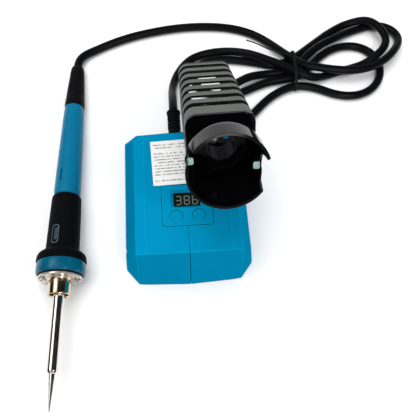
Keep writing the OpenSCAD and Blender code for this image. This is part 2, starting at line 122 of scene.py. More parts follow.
def noise(tree, coords, scale, detail=3.0, rough=0.55, stretch=None):
    if stretch:
        mapped = node(tree, "ShaderNodeMapping")
        mapped.inputs["Scale"].default_value = stretch
        tree.links.new(coords, mapped.inputs["Vector"])
        coords = mapped.outputs["Vector"]
    made = node(tree, "ShaderNodeTexNoise", Scale=scale, Detail=detail, Roughness=rough)
    tree.links.new(coords, made.inputs["Vector"])
    return made.outputs["Fac"]


def spread(tree, value, low, high, to_low, to_high):
    made = node(tree, "ShaderNodeMapRange", From_Min=low, From_Max=high, To_Min=to_low, To_Max=to_high)
    tree.links.new(value, made.inputs["Value"])
    return made.outputs["Result"]


def blend_colors(tree, factor, a, b):
    made = tree.nodes.new("ShaderNodeMix")
    made.data_type = "RGBA"
    tree.links.new(factor, made.inputs["Factor"])
    for socket, value in ((made.inputs["A"], a), (made.inputs["B"], b)):
        if isinstance(value, (tuple, list)):
            socket.default_value = (*value[:3], 1)
        else:
            tree.links.new(value, socket)
    return made.outputs["Result"]


def tinted(color, k):
    return tuple(min(1.0, c * k) for c in color)


def edge_mask(tree, radius, faint=0.998, full=0.93):
    """1 along convex and concave edges, 0 on the flat."""
    bevel = node(tree, "ShaderNodeBevel", samples=4, Radius=radius)
    plain = tree.nodes.new("ShaderNodeNewGeometry")
    dot = node(tree, "ShaderNodeVectorMath", operation="DOT_PRODUCT")
    tree.links.new(bevel.outputs["Normal"], dot.inputs[0])
    tree.links.new(plain.outputs["Normal"], dot.inputs[1])
    return spread(tree, dot.outputs["Value"], faint, full, 0.0, 1.0)


def surface(name, color, rough, metal=0.0, grain=1800.0, bump=0.12, shade=0.07, cloud=45.0,
            rough_spread=0.06, wear_and_highlight=0.0, wear_and_highlight_color=None, stretch=None, specular=0.5,
            edge=(0.0005, 0.998, 0.93), cavity_shade=0.0):
    """A moulded, turned or plated finish: mottled colour, uneven gloss, fine grain, edges lightened
    partly as wear and partly as a painted highlight, and hollows darkened as painted shade.
    """
    mat, tree, shader = new_material(name)
    coords = tree.nodes.new("ShaderNodeTexCoord").outputs["Object"]
    broad = noise(tree, coords, cloud, stretch=stretch)
    fine = noise(tree, coords, grain, 4.0, 0.6, stretch)
    smears = noise(tree, coords, cloud * 3.1, 4.0, 0.65)
    tone = blend_colors(tree, spread(tree, broad, 0.3, 0.7, 0, 1), tinted(color, 1 - shade),
                        tinted(color, 1 + shade))
    # edges lightened: partly wear, partly a painted highlight along edges and creases
    if wear_and_highlight:
        mask = node(tree, "ShaderNodeMath", operation="MULTIPLY")
        tree.links.new(edge_mask(tree, *edge), mask.inputs[0])
        tree.links.new(spread(tree, smears, 0.3, 0.65, 0.25 * wear_and_highlight, wear_and_highlight), mask.inputs[1])
        tone = blend_colors(tree, mask.outputs["Value"], tone, wear_and_highlight_color or tinted(color, 1.8))
    # painted shade: ambient occlusion darkens hollows, grooves and the rims round screws
    if cavity_shade:
        hollow = node(tree, "ShaderNodeAmbientOcclusion", samples=8, Distance=cavity_shade)
        tone = blend_colors(tree, spread(tree, hollow.outputs["AO"], 0.35, 0.85, 1.0, 0.0), tone,
                            tinted(color, 0.12))
    tree.links.new(tone, shader.inputs["Base Color"])
    tree.links.new(spread(tree, smears, 0.3, 0.7, rough - rough_spread, rough + rough_spread),
                   shader.inputs["Roughness"])
    shader.inputs["Metallic"].default_value = metal
    shader.inputs["Specular IOR Level"].default_value = specular
    relief = node(tree, "ShaderNodeBump", Strength=bump, Distance=0.0002)
    tree.links.new(fine, relief.inputs["Height"])
    tree.links.new(relief.outputs["Normal"], shader.inputs["Normal"])
    return mat


def label_material():
    """White paper with rows of short grey marks, none of them letters."""
    mat, tree, shader = new_material("label_paper")
    coords = tree.nodes.new("ShaderNodeTexCoord").outputs["Object"]
    split = tree.nodes.new("ShaderNodeSeparateXYZ")
    tree.links.new(coords, split.inputs["Vector"])

    def math_node(operation, a, b=None, clamp=False):
        made = node(tree, "ShaderNodeMath", operation=operation, use_clamp=clamp)
        for i, value in enumerate((a, b)):
            if value is None:
                continue
            if isinstance(value, (int, float)):
                made.inputs[i].default_value = value
            else:
                tree.links.new(value, made.inputs[i])
        return made.outputs["Value"]

    row_pitch, mark = 0.00215, 0.00042
    rows = math_node("DIVIDE", split.outputs["Y"], row_pitch)
    row = math_node("FLOOR", rows)
    in_row = math_node("COMPARE", math_node("FRACT", rows), 0.5)
    tree.nodes[-1].inputs[2].default_value = 0.2
    cell = math_node("FLOOR", math_node("DIVIDE", split.outputs["X"], mark))
    place = tree.nodes.new("ShaderNodeCombineXYZ")
    tree.links.new(cell, place.inputs["X"])
    tree.links.new(row, place.inputs["Y"])
    chance = node(tree, "ShaderNodeTexWhiteNoise", noise_dimensions="2D")
    tree.links.new(place.outputs["Vector"], chance.inputs["Vector"])
    words = math_node("GREATER_THAN", chance.outputs["Value"], 0.31)
    shown = math_node("MULTIPLY", in_row, words)
    inset = math_node("MULTIPLY", math_node("GREATER_THAN", split.outputs["X"], 0.0016),
                      math_node("LESS_THAN", split.outputs["X"], 0.0222))
    height = math_node("MULTIPLY", math_node("GREATER_THAN", split.outputs["Y"], 0.0024),
                       math_node("LESS_THAN", split.outputs["Y"], 0.0295))
    blank = math_node("SUBTRACT", 1.0, math_node("COMPARE", row, 11.0))
    tree.nodes[-2].inputs[2].default_value = 0.5
    blank_low = math_node("COMPARE", row, 2.0)
    tree.nodes[-1].inputs[2].default_value = 0.5
    gaps = math_node("MULTIPLY", blank, math_node("SUBTRACT", 1.0, blank_low))
    ink = math_node("MULTIPLY", math_node("MULTIPLY", shown, gaps),
                    math_node("MULTIPLY", inset, height))
    fibre = noise(tree, coords, 900.0, 4.0)
    paper = blend_colors(tree, spread(tree, fibre, 0.3, 0.7, 0, 1), (0.78, 0.78, 0.77),
                         (0.84, 0.84, 0.83))
    tree.links.new(blend_colors(tree, math_node("MULTIPLY", ink, 0.75), paper, (0.12, 0.12, 0.13)),
                   shader.inputs["Base Color"])
    shader.inputs["Roughness"].default_value = 0.6
    relief = node(tree, "ShaderNodeBump", Strength=0.1, Distance=0.0001)
    tree.links.new(fibre, relief.inputs["Height"])
    tree.links.new(relief.outputs["Normal"], shader.inputs["Normal"])
    return mat


TEAL = (0.0005, 0.225, 0.42)
MATERIALS = {
    # the shell's light edge colour paints highlight lines along its creases, besides wear
    "teal_shell": surface("teal_shell", TEAL, 0.42, grain=2600, bump=0.12, shade=0.03, wear_and_highlight=0.9,
                          wear_and_highlight_color=(0.004, 0.42, 0.62),
                          specular=0.0, edge=(0.0006, 0.9998, 0.988), cavity_shade=0.0012),
    "teal_handle": surface("teal_handle", (0.001, 0.135, 0.25), 0.3, grain=2600, bump=0.14, shade=0.05,
                           wear_and_highlight=0.4,
                           wear_and_highlight_color=(0.01, 0.3, 0.45), specular=0.1),
    "teal_gloss": surface("teal_gloss", (0.001, 0.085, 0.15), 0.18, bump=0.03, shade=0.2, cloud=140,
                          specular=0.2),
    "black_plastic": surface("black_plastic", (0.006, 0.0065, 0.0065), 0.5, grain=2200, bump=0.2,
                             wear_and_highlight=0.4,
                             wear_and_highlight_color=(0.03, 0.03, 0.03), specular=0.08),
    # grey sleeve colour: a painted sheen of light on the black plastic
    "sleeve_grey_painted_sheen": surface("sleeve_grey_painted_sheen", (0.095, 0.1, 0.094), 0.5, grain=2200, bump=0.15, wear_and_highlight=0.5,
                           wear_and_highlight_color=(0.22, 0.22, 0.21),
                           specular=0.1),
    "black_gloss": surface("black_gloss", (0.0012, 0.0012, 0.0018), 0.1, bump=0.015, cloud=30,
                           rough_spread=0.04, specular=0.12),
    "grip_black": surface("grip_black", (0.0026, 0.0028, 0.0034), 0.6, grain=3200, bump=0.3, shade=0.12,
                          specular=0.035),
    "rubber": surface("rubber", (0.0032, 0.0034, 0.004), 0.5, grain=2400, bump=0.22, shade=0.12,
                      specular=0.06),
    "cord_jacket": surface("cord_jacket", (0.0028, 0.003, 0.0036), 0.33, grain=1500, bump=0.1,
                           shade=0.15, cloud=30,
                           specular=0.1),
    "steel": surface("steel", (0.62, 0.6, 0.56), 0.16, metal=1.0, grain=900, bump=0.06, shade=0.08,
                     stretch=(1, 1, 0.06)),
    "barrel_steel": surface("barrel_steel", (0.8, 0.78, 0.73), 0.14, metal=1.0, grain=900, bump=0.05,
                            shade=0.06,
                            stretch=(1, 1, 0.06)),
    # aqua tint on the steel clip ears: a painted reflection of the teal shell
    "ear_steel_teal_reflection": surface("ear_steel_teal_reflection", (0.26, 0.37, 0.35), 0.3, metal=0.75, grain=1500, bump=0.08,
                         shade=0.2, cloud=160),
    "sleeve_steel": surface("sleeve_steel", (0.012, 0.013, 0.018), 0.3, metal=0.3, specular=0.1,
                            grain=900, bump=0.05, shade=0.3),
    # the dark rings round the plate's screws and in the screw heads are painted shade
    "nickel": surface("nickel", (0.62, 0.56, 0.5), 0.22, metal=0.7, cavity_shade=0.002, grain=700, bump=0.05,
                      shade=0.07, cloud=120,
                      stretch=(1, 1, 0.1)),
    "collar_brass": surface("collar_brass", (0.72, 0.6, 0.42), 0.16, metal=1.0, grain=700, bump=0.05,
                            shade=0.07,
                            stretch=(1, 1, 0.1)),
    "screw_zinc": surface("screw_zinc", (0.6, 0.56, 0.5), 0.24, metal=0.7, bump=0.1, wear_and_highlight=0.4,
                          cavity_shade=0.0016),
    "contact_brass": surface("contact_brass", (0.78, 0.55, 0.22), 0.28, metal=1.0, bump=0.08),
    "board_green": surface("board_green", (0.02, 0.14, 0.05), 0.32, grain=1200, bump=0.1),
    "component_black": surface("component_black", (0.02, 0.02, 0.022), 0.45),
    "display_dark": surface("display_dark", (0.005, 0.011, 0.009), 0.2, bump=0.02, shade=0.15,
                            specular=0.08),
    "segment_white": surface("segment_white", (0.2, 0.22, 0.18), 0.5, bump=0.02, specular=0.1),
    "ceramic_rod": surface("ceramic_rod", (0.8, 0.77, 0.68), 0.6),
    "label_paper": label_material(),
    "mark_grey": surface("mark_grey", (0.09, 0.16, 0.2), 0.5, specular=0.2),
}


# ---- mesh building blocks
def dress(obj, slot, body, cad=(), sharp=38, finish=None):
    """Rides a body and takes a slot of the record.

    finish names a material of its own, for a piece that differs from the rest of its slot.
    """
    obj.data.materials.clear()
    obj.data.materials.append(MATERIALS[finish or slot])
    obj.data.shade_smooth()
    obj.data.set_sharp_from_angle(angle=math.radians(sharp))
    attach(obj, body)
    if cad:
        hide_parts(*cad)
    return obj


def mesh_object(name, points, faces, place=None):
    """An object from points in millimetres, with doubled points joined and its faces turned outward."""
    mesh = bpy.data.meshes.new(name)
    mesh.from_pydata([tuple(float(c) * MM for c in p) for p in points], [], faces)
    work = bmesh.new()
    work.from_mesh(mesh)
    bmesh.ops.remove_doubles(work, verts=work.verts, dist=2e-6)
    bmesh.ops.dissolve_degenerate(work, edges=work.edges, dist=1e-7)
    bmesh.ops.recalc_face_normals(work, faces=work.faces)
    work.to_mesh(mesh)
    work.free()
    obj = bpy.data.objects.new(name, mesh)
    scene.collection.objects.link(obj)
    if place is not None:
        obj.matrix_world = place
    return obj


def rounded(points, radius, steps=4, closed=True):
    """The outline with every corner rounded; radius is one number or one for each point."""
    points = [np.array(p, float) for p in points]
    n = len(points)
    out = []
    for i, p in enumerate(points):
        r = radius[i] if isinstance(radius, (list, tuple)) else radius
        if not closed and i in (0, n - 1) or r <= 0:
            out.append(p)
            continue
        a, b = points[i - 1], points[(i + 1) % n]
        la, lb = np.linalg.norm(a - p), np.linalg.norm(b - p)
        d = min(r, 0.45 * la, 0.45 * lb)
        start, end = p + (a - p) / la * d, p + (b - p) / lb * d
        for t in np.linspace(0, 1, steps + 1):
            out.append((1 - t) ** 2 * start + 2 * t * (1 - t) * p + t * t * end)
    return out


def turned(name, profile, place, segments=96, round_by=0.3):
    """A solid turned about local Z from a closed outline of (radius, height)."""
    outline = rounded(profile, [0 if p[0] < 1e-6 else round_by for p in profile])
    n, rows = len(outline), []
    for r, z in outline:
        for k in range(segments):
            a = 2 * math.pi * k / segments
            rows.append((max(r, 0) * math.cos(a), max(r, 0) * math.sin(a), z))
    faces = []
    for i in range(n):
        j = (i + 1) % n
        if outline[i][0] < 1e-6 and outline[j][0] < 1e-6:
            continue
        for k in range(segments):
            m = (k + 1) % segments
            faces.append((i * segments + k, i * segments + m, j * segments + m, j * segments + k))
    return mesh_object(name, rows, faces, place)


def grid_faces(rows, columns, wrap=False, skip=()):
    faces = []
    for i in range(rows - 1):
        for k in range(columns if wrap else columns - 1):
            if (i, k) in skip:
                continue
            m = (k + 1) % columns
            faces.append((i * columns + k, i * columns + m, (i + 1) * columns + m,
                          (i + 1) * columns + k))
    return faces


def prism(name, outline, z0, z1, place=None):
    n = len(outline)
    points = [(x, y, z0) for x, y in outline] + [(x, y, z1) for x, y in outline]
    faces = [tuple(range(n))[::-1], tuple(range(n, 2 * n))]
    faces += [(k, (k + 1) % n, n + (k + 1) % n, n + k) for k in range(n)]
    return mesh_object(name, points, faces, place)


def disc(radius, n=48, at=(0, 0)):
    return [(at[0] + radius * math.cos(2 * math.pi * k / n),
             at[1] + radius * math.sin(2 * math.pi * k / n)) for k in range(n)]


def round_rect(x, y, r, at=(0, 0), n=6):
    out = []
    for quarter, (sx, sy) in enumerate(((1, 1), (-1, 1), (-1, -1), (1, -1))):
        for k in range(n + 1):
            a = math.pi / 2 * (quarter + k / n)
            out.append((at[0] + sx * (x / 2 - r) + r * math.cos(a),
                        at[1] + sy * (y / 2 - r) + r * math.sin(a)))
    return out


def hull_object(name, points):
    mesh = bpy.data.meshes.new(name)
    work = bmesh.new()
    for p in points:
        work.verts.new([c * MM for c in p])
    found = bmesh.ops.convex_hull(work, input=work.verts)
    bmesh.ops.delete(work, geom=[v for v in set(found["geom_interior"])
                                 if isinstance(v, bmesh.types.BMVert)], context="VERTS")
    bmesh.ops.dissolve_limit(work, angle_limit=math.radians(0.4), verts=work.verts, edges=work.edges)
    bmesh.ops.recalc_face_normals(work, faces=work.faces)
    work.to_mesh(mesh)
    work.free()
    obj = bpy.data.objects.new(name, mesh)
    scene.collection.objects.link(obj)
    return obj


def settle(obj):
    """Turns the object's modifiers into its mesh."""
    graph = bpy.context.evaluated_depsgraph_get()
    mesh = bpy.data.meshes.new_from_object(obj.evaluated_get(graph))
    obj.modifiers.clear()
    obj.data = mesh
    return obj


def cut(obj, *tools, operation="DIFFERENCE"):
    for tool in tools:
        made = obj.modifiers.new("cut", "BOOLEAN")
        made.operation = operation
        made.object = tool
        made.solver = "EXACT"
        settle(obj)
        bpy.data.objects.remove(tool)
    return obj


def soften(obj, width, segments=2, angle=35, weighted=True):
    made = obj.modifiers.new("edges", "BEVEL")
    made.width = width * MM
    made.segments = segments
    made.limit_method = "ANGLE"
    made.angle_limit = math.radians(angle)
    made.harden_normals = False
    if weighted:
        normals = obj.modifiers.new("normals", "WEIGHTED_NORMAL")
        normals.keep_sharp = True
    return obj


# ---- the cord comes first
CORD_ROUTE = [
    # round the bend behind the boot and along the back
    (-76.7, 117.7, 4.85), (-76, 125, 4.5), (-71.4, 131, 4), (-64, 135.4, 3.4), (-53.5, 141, 3.1),
    (-37, 147.6, 3.1), (-17, 152.8, 3.1), (4, 156, 3.1), (25, 156.5, 3.1), (45, 154, 3.1),
    (62, 147.5, 3.1), (74, 138, 3.6), (82, 127, 6.5),
    # over the bundle and round the second loop on the right
    (88, 117, 10.4), (96, 110, 10.3), (107, 107, 9.9), (121, 104, 9.8), (136, 102.5, 9.8),
    (150, 104.5, 10),
    (163, 111, 10.2), (173.5, 121, 9), (180.5, 131.5, 6.2), (181.8, 141, 4.2), (177, 148.5, 3.3),
    (167.5, 152, 3.1), (155, 150, 3.1), (141, 145, 3.1), (129, 138.5, 5.2), (116, 130.4, 7.6),
    (104, 121.6, 6.8), (94, 113, 3.6),
    # first loop on the left, over the second one
    (81, 108, 3.3), (67, 106.5, 3.3), (55, 102.5, 6.4), (44, 94.5, 9.7), (35.5, 88.5, 9.8),
    (29, 81.5, 8.6),
    (26.4, 73.5, 6.2), (29.6, 65.8, 4.2), (36.5, 61.8, 3.3), (44.3, 62.3, 3.1), (51.5, 67.8, 3.1),
    (59.5, 75.5, 3.1), (68.5, 84, 3.1), (81, 91.5, 3.4),
    # third loop on the right
    (94, 94.5, 3.5), (108, 91.5, 3.1), (121, 85.5, 3.1), (135.5, 83.5, 3.1), (149, 88, 3.1),
    (158.5, 98.5, 3.1),
    (161.5, 112, 3.1), (157, 124, 3.1), (146, 131, 3.1), (131.5, 131, 3.1), (118, 124.5, 3.1),
    (106, 114, 3.1),
    (96, 104.5, 3.6),
    # second loop on the left
    (83, 101, 3.4), (69, 99, 3.1), (56, 94, 3.1), (43, 89, 3.1), (28.5, 89, 3.1), (17.5, 93.5, 3.1),
    (12, 104, 3.1), (15, 115, 3.1), (25, 121.5, 3.1), (38, 122.5, 3.1), (50, 121, 3.1),
    (62, 118.5, 3.1),
    (76, 115, 3.4),
    # first loop on the right
    (90, 119.3, 3.6), (101.5, 127.5, 3.1), (114, 137, 3.1), (128, 147, 3.1), (142, 153.5, 4.2),
    (157, 151.8, 9.8),
    (167, 142, 9.8), (168.5, 129.5, 9.8), (160.5, 118.5, 9.8), (147.5, 111.5, 5), (132, 108, 3.1),
    (117.5, 103.5, 3.1), (105.5, 99.4, 6.8), (94.5, 101.5, 10.1),
    # back over the bundle and down the left side to the strain relief
    (83, 108.5, 10.1), (70, 115.5, 9.9), (57, 122, 9.4), (43, 128, 6), (27, 129.5, 3.3),
    (12, 124.5, 3.1),
    (2.5, 114.5, 3.1), (-3, 103, 3.6), (-5, 91, 8), (-5.2, 79, 15.5), (-5.2, 70, 20.4),
    (-5.2, 62.8, 22),
]


def smooth_line(points, spacing, passes=2):
    """An even line through the points: a Catmull-Rom curve, spaced out and lightly smoothed."""
    p = np.array(points, float)
    p = np.vstack([2 * p[0] - p[1], p, 2 * p[-1] - p[-2]])
    fine = []
    for a, b, c, d in zip(p, p[1:], p[2:], p[3:]):
        for t in np.linspace(0, 1, 16, endpoint=False):
            fine.append(0.5 * (2 * b + (c - a) * t + (2 * a - 5 * b + 4 * c - d) * t**2
                               + (3 * b - a - 3 * c + d) * t**3))
    fine = np.array(fine + [p[-2]])
    for _ in range(passes + 1):
        run = np.concatenate([[0], np.cumsum(np.linalg.norm(np.diff(fine, axis=0), axis=1))])
        even = np.linspace(0, run[-1], int(run[-1] / spacing) + 1)
        fine = np.stack([np.interp(even, run, fine[:, k]) for k in range(3)], 1)
        fine[1:-1] = 0.25 * fine[:-2] + 0.5 * fine[1:-1] + 0.25 * fine[2:]
    return fine


def tube_points(line, radius, sides, first=None, last=None):
    """Rings round a line, carried along without twist; radius is one number or one for each ring."""
    ahead = np.gradient(line, axis=0)
    if first is not None:
        ahead[0] = first
    if last is not None:
        ahead[-1] = last
    ahead /= np.linalg.norm(ahead, axis=1)[:, None]
    side = np.cross(ahead[0], (0, 0, 1))
    points = []
    radii = np.broadcast_to(radius, (len(line),))
    for centre, t, r in zip(line, ahead, radii):
        side = side - t * (side @ t)
        side /= np.linalg.norm(side)
        other = np.cross(t, side)
        for k in range(sides):
            a = 2 * math.pi * k / sides
            points.append(centre + r * (math.cos(a) * side + math.sin(a) * other))
    return points


def tube(name, line, radius, sides=16, place=None, first=None, last=None):
    points = tube_points(line, radius, sides, first, last)
    n = len(line)
    faces = grid_faces(n, sides, wrap=True)
    faces += [tuple(range(sides))[::-1], tuple(range((n - 1) * sides, n * sides))]
    return mesh_object(name, points, faces, place)


def add_cord():
    line = smooth_line(CORD_ROUTE, 2.4)
    line[:, 2] = np.maximum(line[:, 2], CORD_D / 2)
    way_out = IRON.to_3x3() @ Vector((0, 0, -1))
    cord = tube("cord_run", line, CORD_D / 2, 20, first=tuple(way_out), last=(0, -1, 0))
    cord.data.materials.append(MATERIALS["cord_jacket"])
    cord.data.shade_smooth()
    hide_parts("cord")
    exit_point = line[-1] * MM
    path = [tuple(p * MM) for p in line[::-1]]
    run = float(np.linalg.norm(np.diff(line, axis=0), axis=1).sum()) * MM
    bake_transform(cord)
    return cord, exit_point, path, run


cord, cord_exit, cord_path, cord_length = add_cord()


# ---- station
LIP_RING = ((0, -56), (28.3, -54.6), (33.5, -54), (36, -50.7), (41.3, -44.2), (41.3, 47.4), (33, 54.2),
            (0, 56))
SKIRT_RING = ((0, -55.2), (28.2, -53.8), (33.3, -53.2), (35.7, -50.3), (41.3, -44.2), (41.3, 47.4),
              (33, 54.2), (0, 56))
BEND_RING = ((0, -53), (33, -50), (41.3, -36.5), (41.3, 47.4), (33, 54.2), (0, 56))
EDGE_RING = ((0, -46.3), (25.7, -46), (32.4, -44.5), (32.4, 33.6), (26.6, 37.8), (0, 38.5))
TOP_RING = ((0, -45.6), (25.5, -45.4), (26.1, -45.2), (26.1, 35.2), (25.5, 35.9), (0, 36.9))


def layer(z, ring, inset=0.0):
    """A ring given from its front centre round the right side, on both sides, at height z."""
    half = [(max(x - inset, 0), y - math.copysign(inset, y), z) for x, y in ring]
    return half + [(-x, y, z) for x, y, z in half[-2:0:-1]]


def shell_outside():
    rings = ((0, LIP_RING), (0.7, LIP_RING), (2.05, SKIRT_RING), (6.55, BEND_RING), (33.55, EDGE_RING),
             (TOP_Z, TOP_RING))
    return hull_object("station_shell", [p for z, ring in rings for p in layer(z, ring)])


def shell_inside():
    rings = ((-1, SKIRT_RING), (6.5, BEND_RING), (31.5, EDGE_RING), (TOP_Z - WALL, TOP_RING))
    return hull_object("cavity_shade", [p for z, ring in rings for p in layer(z, ring, WALL)])


def add_shell():
    shell = shell_outside()
    work = bmesh.new()
    work.from_mesh(shell.data)
    ridges = [e for e in work.edges if e.is_manifold and e.calc_face_angle() > math.radians(5)
              and max(v.co.z for v in e.verts) > 1e-6]
    bmesh.ops.bevel(work, geom=ridges, offset=0.9 * MM, segments=3, profile=0.5, affect="EDGES",
                    clamp_overlap=True)
    work.to_mesh(shell.data)
    work.free()
    panel = round_rect(32, 28.2, 2.6, (0, -14.6))
    panel_tool = prism("panel", panel, TOP_Z - 0.55, TOP_Z + 1)
    cut(panel_tool, prism("panel_in", round_rect(31, 27.2, 2.1, (0, -14.6)), TOP_Z - 2, TOP_Z + 2))
    window = [(x, y, TOP_Z - 1.8) for x, y in round_rect(16.8, 9.6, 1, (0, -10.2))]
    window += [(x, y, TOP_Z + 0.05) for x, y in round_rect(20.9, 13.5, 1.8, (0, -10.2))]
    mould_line = prism("mould_line", [(-0.25, -46), (0.25, -46), (0.25, -28.6), (-0.25, -28.6)],
                       TOP_Z - 0.4, TOP_Z + 1)
    front_line = prism("front_line", [(-0.25, -0.4), (0.25, -0.4), (0.25, 1), (-0.25, 1)], -40, 0,
                       pose((0, -45.6, TOP_Z), 0, -15.8))
    notch = prism("notch", [(-2.4, 0), (0, -2.4), (2.4, 0), (0, 2.4)], -1, 13,
                  Matrix.Translation(Vector((-41.9, -32.9, 0)) * MM))
    tools = [
        shell_inside(),
        panel_tool,
        hull_object("window", window),
        prism("window_hole", round_rect(16.8, 9.6, 1, (0, -10.2)), TOP_Z - 4, TOP_Z - 1.5),
        prism("button_hole_left", disc(4.25, at=(-BUTTON_X, BUTTON_Y)), TOP_Z - 5, TOP_Z + 1),
        prism("button_hole_right", disc(4.25, at=(BUTTON_X, BUTTON_Y)), TOP_Z - 5, TOP_Z + 1),
        prism("battery_gap", [(-31.6, 40), (31.6, 40), (31.6, 60), (-31.6, 60)], -1, 13.2),
        mould_line,
        front_line,
        notch,
        prism("relief_hole", disc(4.35), 38, 60, pose((-5.2, 0, 22), 0, -90)),
    ]
    cut(shell, *tools)
    dress(shell, "teal_shell", "station", ["top_shell"], sharp=28)
    normals = shell.modifiers.new("normals", "WEIGHTED_NORMAL")
    normals.keep_sharp = True


def add_button(name, x, cad):
    outline = [(0, 29.3), (1.5, 29.3), (1.5, 32.5), (4.8, 32.5), (4.8, 33.3), (3.95, 33.3),
               (3.95, 35.9), (2.4, 35.86), (0, 35.7)]
    button = turned(name, outline, Matrix.Translation(Vector((x, BUTTON_Y, 0)) * MM), 64, 0.35)
    dress(button, "teal_shell", cad, [cad])


def add_label():
    columns, rows = 25, 33
    points = []
    for top in (0, 1):
        for j in range(rows):
            for i in range(columns):
                u, v = i / (columns - 1), j / (rows - 1)
                lift = 0.35 * (max(0, 0.18 - u) / 0.18) ** 2 * (max(0, 0.22 - v) / 0.22) ** 2
                lift += 0.08 * math.sin(math.pi * u) * math.sin(3 * math.pi * v) ** 2
                points.append((24 * u, 32 * v, 0.03 + lift + 0.11 * top))
    under = grid_faces(rows, columns)
    half = rows * columns
    over = [tuple(i + half for i in f) for f in under]
    rim = [i for i in range(columns)] + [j * columns + columns - 1 for j in range(1, rows)]
    rim += [(rows - 1) * columns + i for i in range(columns - 2, -1,
                                                    -1)] + [j * columns for j in range(rows - 2, 0, -1)]
    sides = [(a, b, b + half, a + half) for a, b in zip(rim, rim[1:] + rim[:1])]
    place = pose((-21.6, -0.9, TOP_Z), 2.2, 0) @ Matrix.Translation((1.3 * MM, 0, 0))
    dress(mesh_object("paper_label", points, under + over + sides, place), "label_paper", "station",
          ["info_label"])


def add_strain_relief():
    outline = [(0, 34.6), (6, 34.6), (6, 36.4), (4.2, 36.4), (4.2, 47.6)]
    for i in range(5):
        z = 48.6 + 2.6 * i
        outline += [(3.6, z - 0.3), (4.5, z), (4.5, z + 1.5), (3.6, z + 1.8)]
    outline += [(4.85, 60.9), (4.85, 62.6), (0, 62.6)]
    relief = turned("cord_relief", outline, pose((-5.2, 0, 22), 0, -90), 64, 0.35)
    dress(relief, "rubber", "station", ["strain_relief"])


# ---- holder
def cage_outline(w, hi, r=6.0, lo=CAGE_BOTTOM):
    """The sleeve's section: from mid-floor up the right side, over the roof and down the left."""
    half = [(x, lo) for x in (0, 3.5, 7, 10.5)]
    half.append(((10.5 + w - r) / 2, lo))
    half += [(w - r + r * math.sin(a), lo + r - r * math.cos(a))
             for a in np.linspace(0, math.pi / 2, 9)]
    half += [(w, z) for z in (-11.0, -8, -2, 4, hi - r)]
    half += [(w - r + r * math.cos(a), hi - r + r * math.sin(a))
             for a in np.linspace(0, math.pi / 2, 9)[1:]]
    half += [(x, hi) for x in ((w - r) * 0.66, (w - r) * 0.33, 0)]
    return half + [(-x, z) for x, z in half[-2:0:-1]]


def cage_section(y, front, rear):
    t = (y - CAGE_FRONT) / (CAGE_REAR - CAGE_FRONT)
    return [(xa + (xb - xa) * t, y, za + (zb - za) * t) for (xa, za), (xb, zb) in zip(front, rear)]


def add_cage():
    front, rear = cage_outline(18.4, 17.8), cage_outline(16.6, 18.4)
    n = len(front)
    first_side = 14  # column at z = -11 on the right
    slots = sorted(CAGE_REAR - 8.4 - 10 * i for i in range(7))
    cuts = [y + s for y in slots for s in (-SLOT_W / 2, SLOT_W / 2)]
    stations = [CAGE_FRONT + CAGE_WALL, *cuts, CAGE_REAR - CAGE_WALL]
    points = [p for y in stations for p in cage_section(y, front, rear)]
    skip = set()
    for i in range(7):
        for k in range(n):
            if first_side <= k < n - first_side or k < 3 or k >= n - 3:
                skip.add((1 + 2 * i, k))
    cage = mesh_object("slotted_sleeve", points, grid_faces(len(stations), n, wrap=True, skip=skip),
                       HOLDER)
    outward(cage)
    thicken(cage, SLEEVE_WALL)
    settle(cage)
    # the outward faces take the grey painted sheen; the faces turned inward keep the black plastic
    dress(cage, "black_plastic", "station", ["holder_cage"], finish="sleeve_grey_painted_sheen")
    cage.data.materials.append(MATERIALS["black_plastic"])
    to_holder = HOLDER.inverted() @ cage.matrix_world
    for face in cage.data.polygons:
        centre, normal = to_holder @ face.center, (to_holder.to_3x3() @ face.normal).normalized()
        middle = Vector((0, centre.y, 0))
        if normal.dot((centre - middle).normalized()) < 0.3:
            face.material_index = 1
    soften(cage, 0.25, 2, 40)
    add_end_plate("front_plate", CAGE_FRONT, 9.9, "cage_front_plate", "black_gloss", front, rear)
    add_end_plate("back_plate", CAGE_REAR - CAGE_WALL, 10.8, "cage_back_plate", "black_plastic", front,
                  rear)


def add_end_plate(name, y, hole, cad, slot, front, rear):
    """A plate across one end of the sleeve, with a round hole on the sleeve's axis."""
    n = len(front)
    points = []
    for at in (y, y + CAGE_WALL):
        ring = cage_section(at, front, rear)
        points += ring + [(hole * x / math.hypot(x, z), at, hole * z / math.hypot(x, z)) for x, _,
                          z in ring]
    faces = []
    for k in range(n):
        m = (k + 1) % n
        faces += [(k, m, n + m, n + k), (2 * n + k, 2 * n + m, 3 * n + m, 3 * n + k),
                  (k, m, 2 * n + m, 2 * n + k),
                  (n + k, n + m, 3 * n + m, 3 * n + k)]
    plate = mesh_object(name, points, faces, HOLDER)
    dress(plate, slot, "station", [cad])
    soften(plate, 0.5, 3, 40)


def outward(obj):
    """Faces of an open surface turned away from its middle line, local Y."""
    total = sum((f.center.x * f.normal.x + f.center.z * f.normal.z) * f.area for f in obj.data.polygons)
    if total < 0:
        obj.data.flip_normals()


def thicken(obj, depth):
    made = obj.modifiers.new("wall", "SOLIDIFY")
    made.thickness = depth * MM
    made.offset = -1
    made.use_even_offset = True
    made.use_quality_normals = True
    return obj


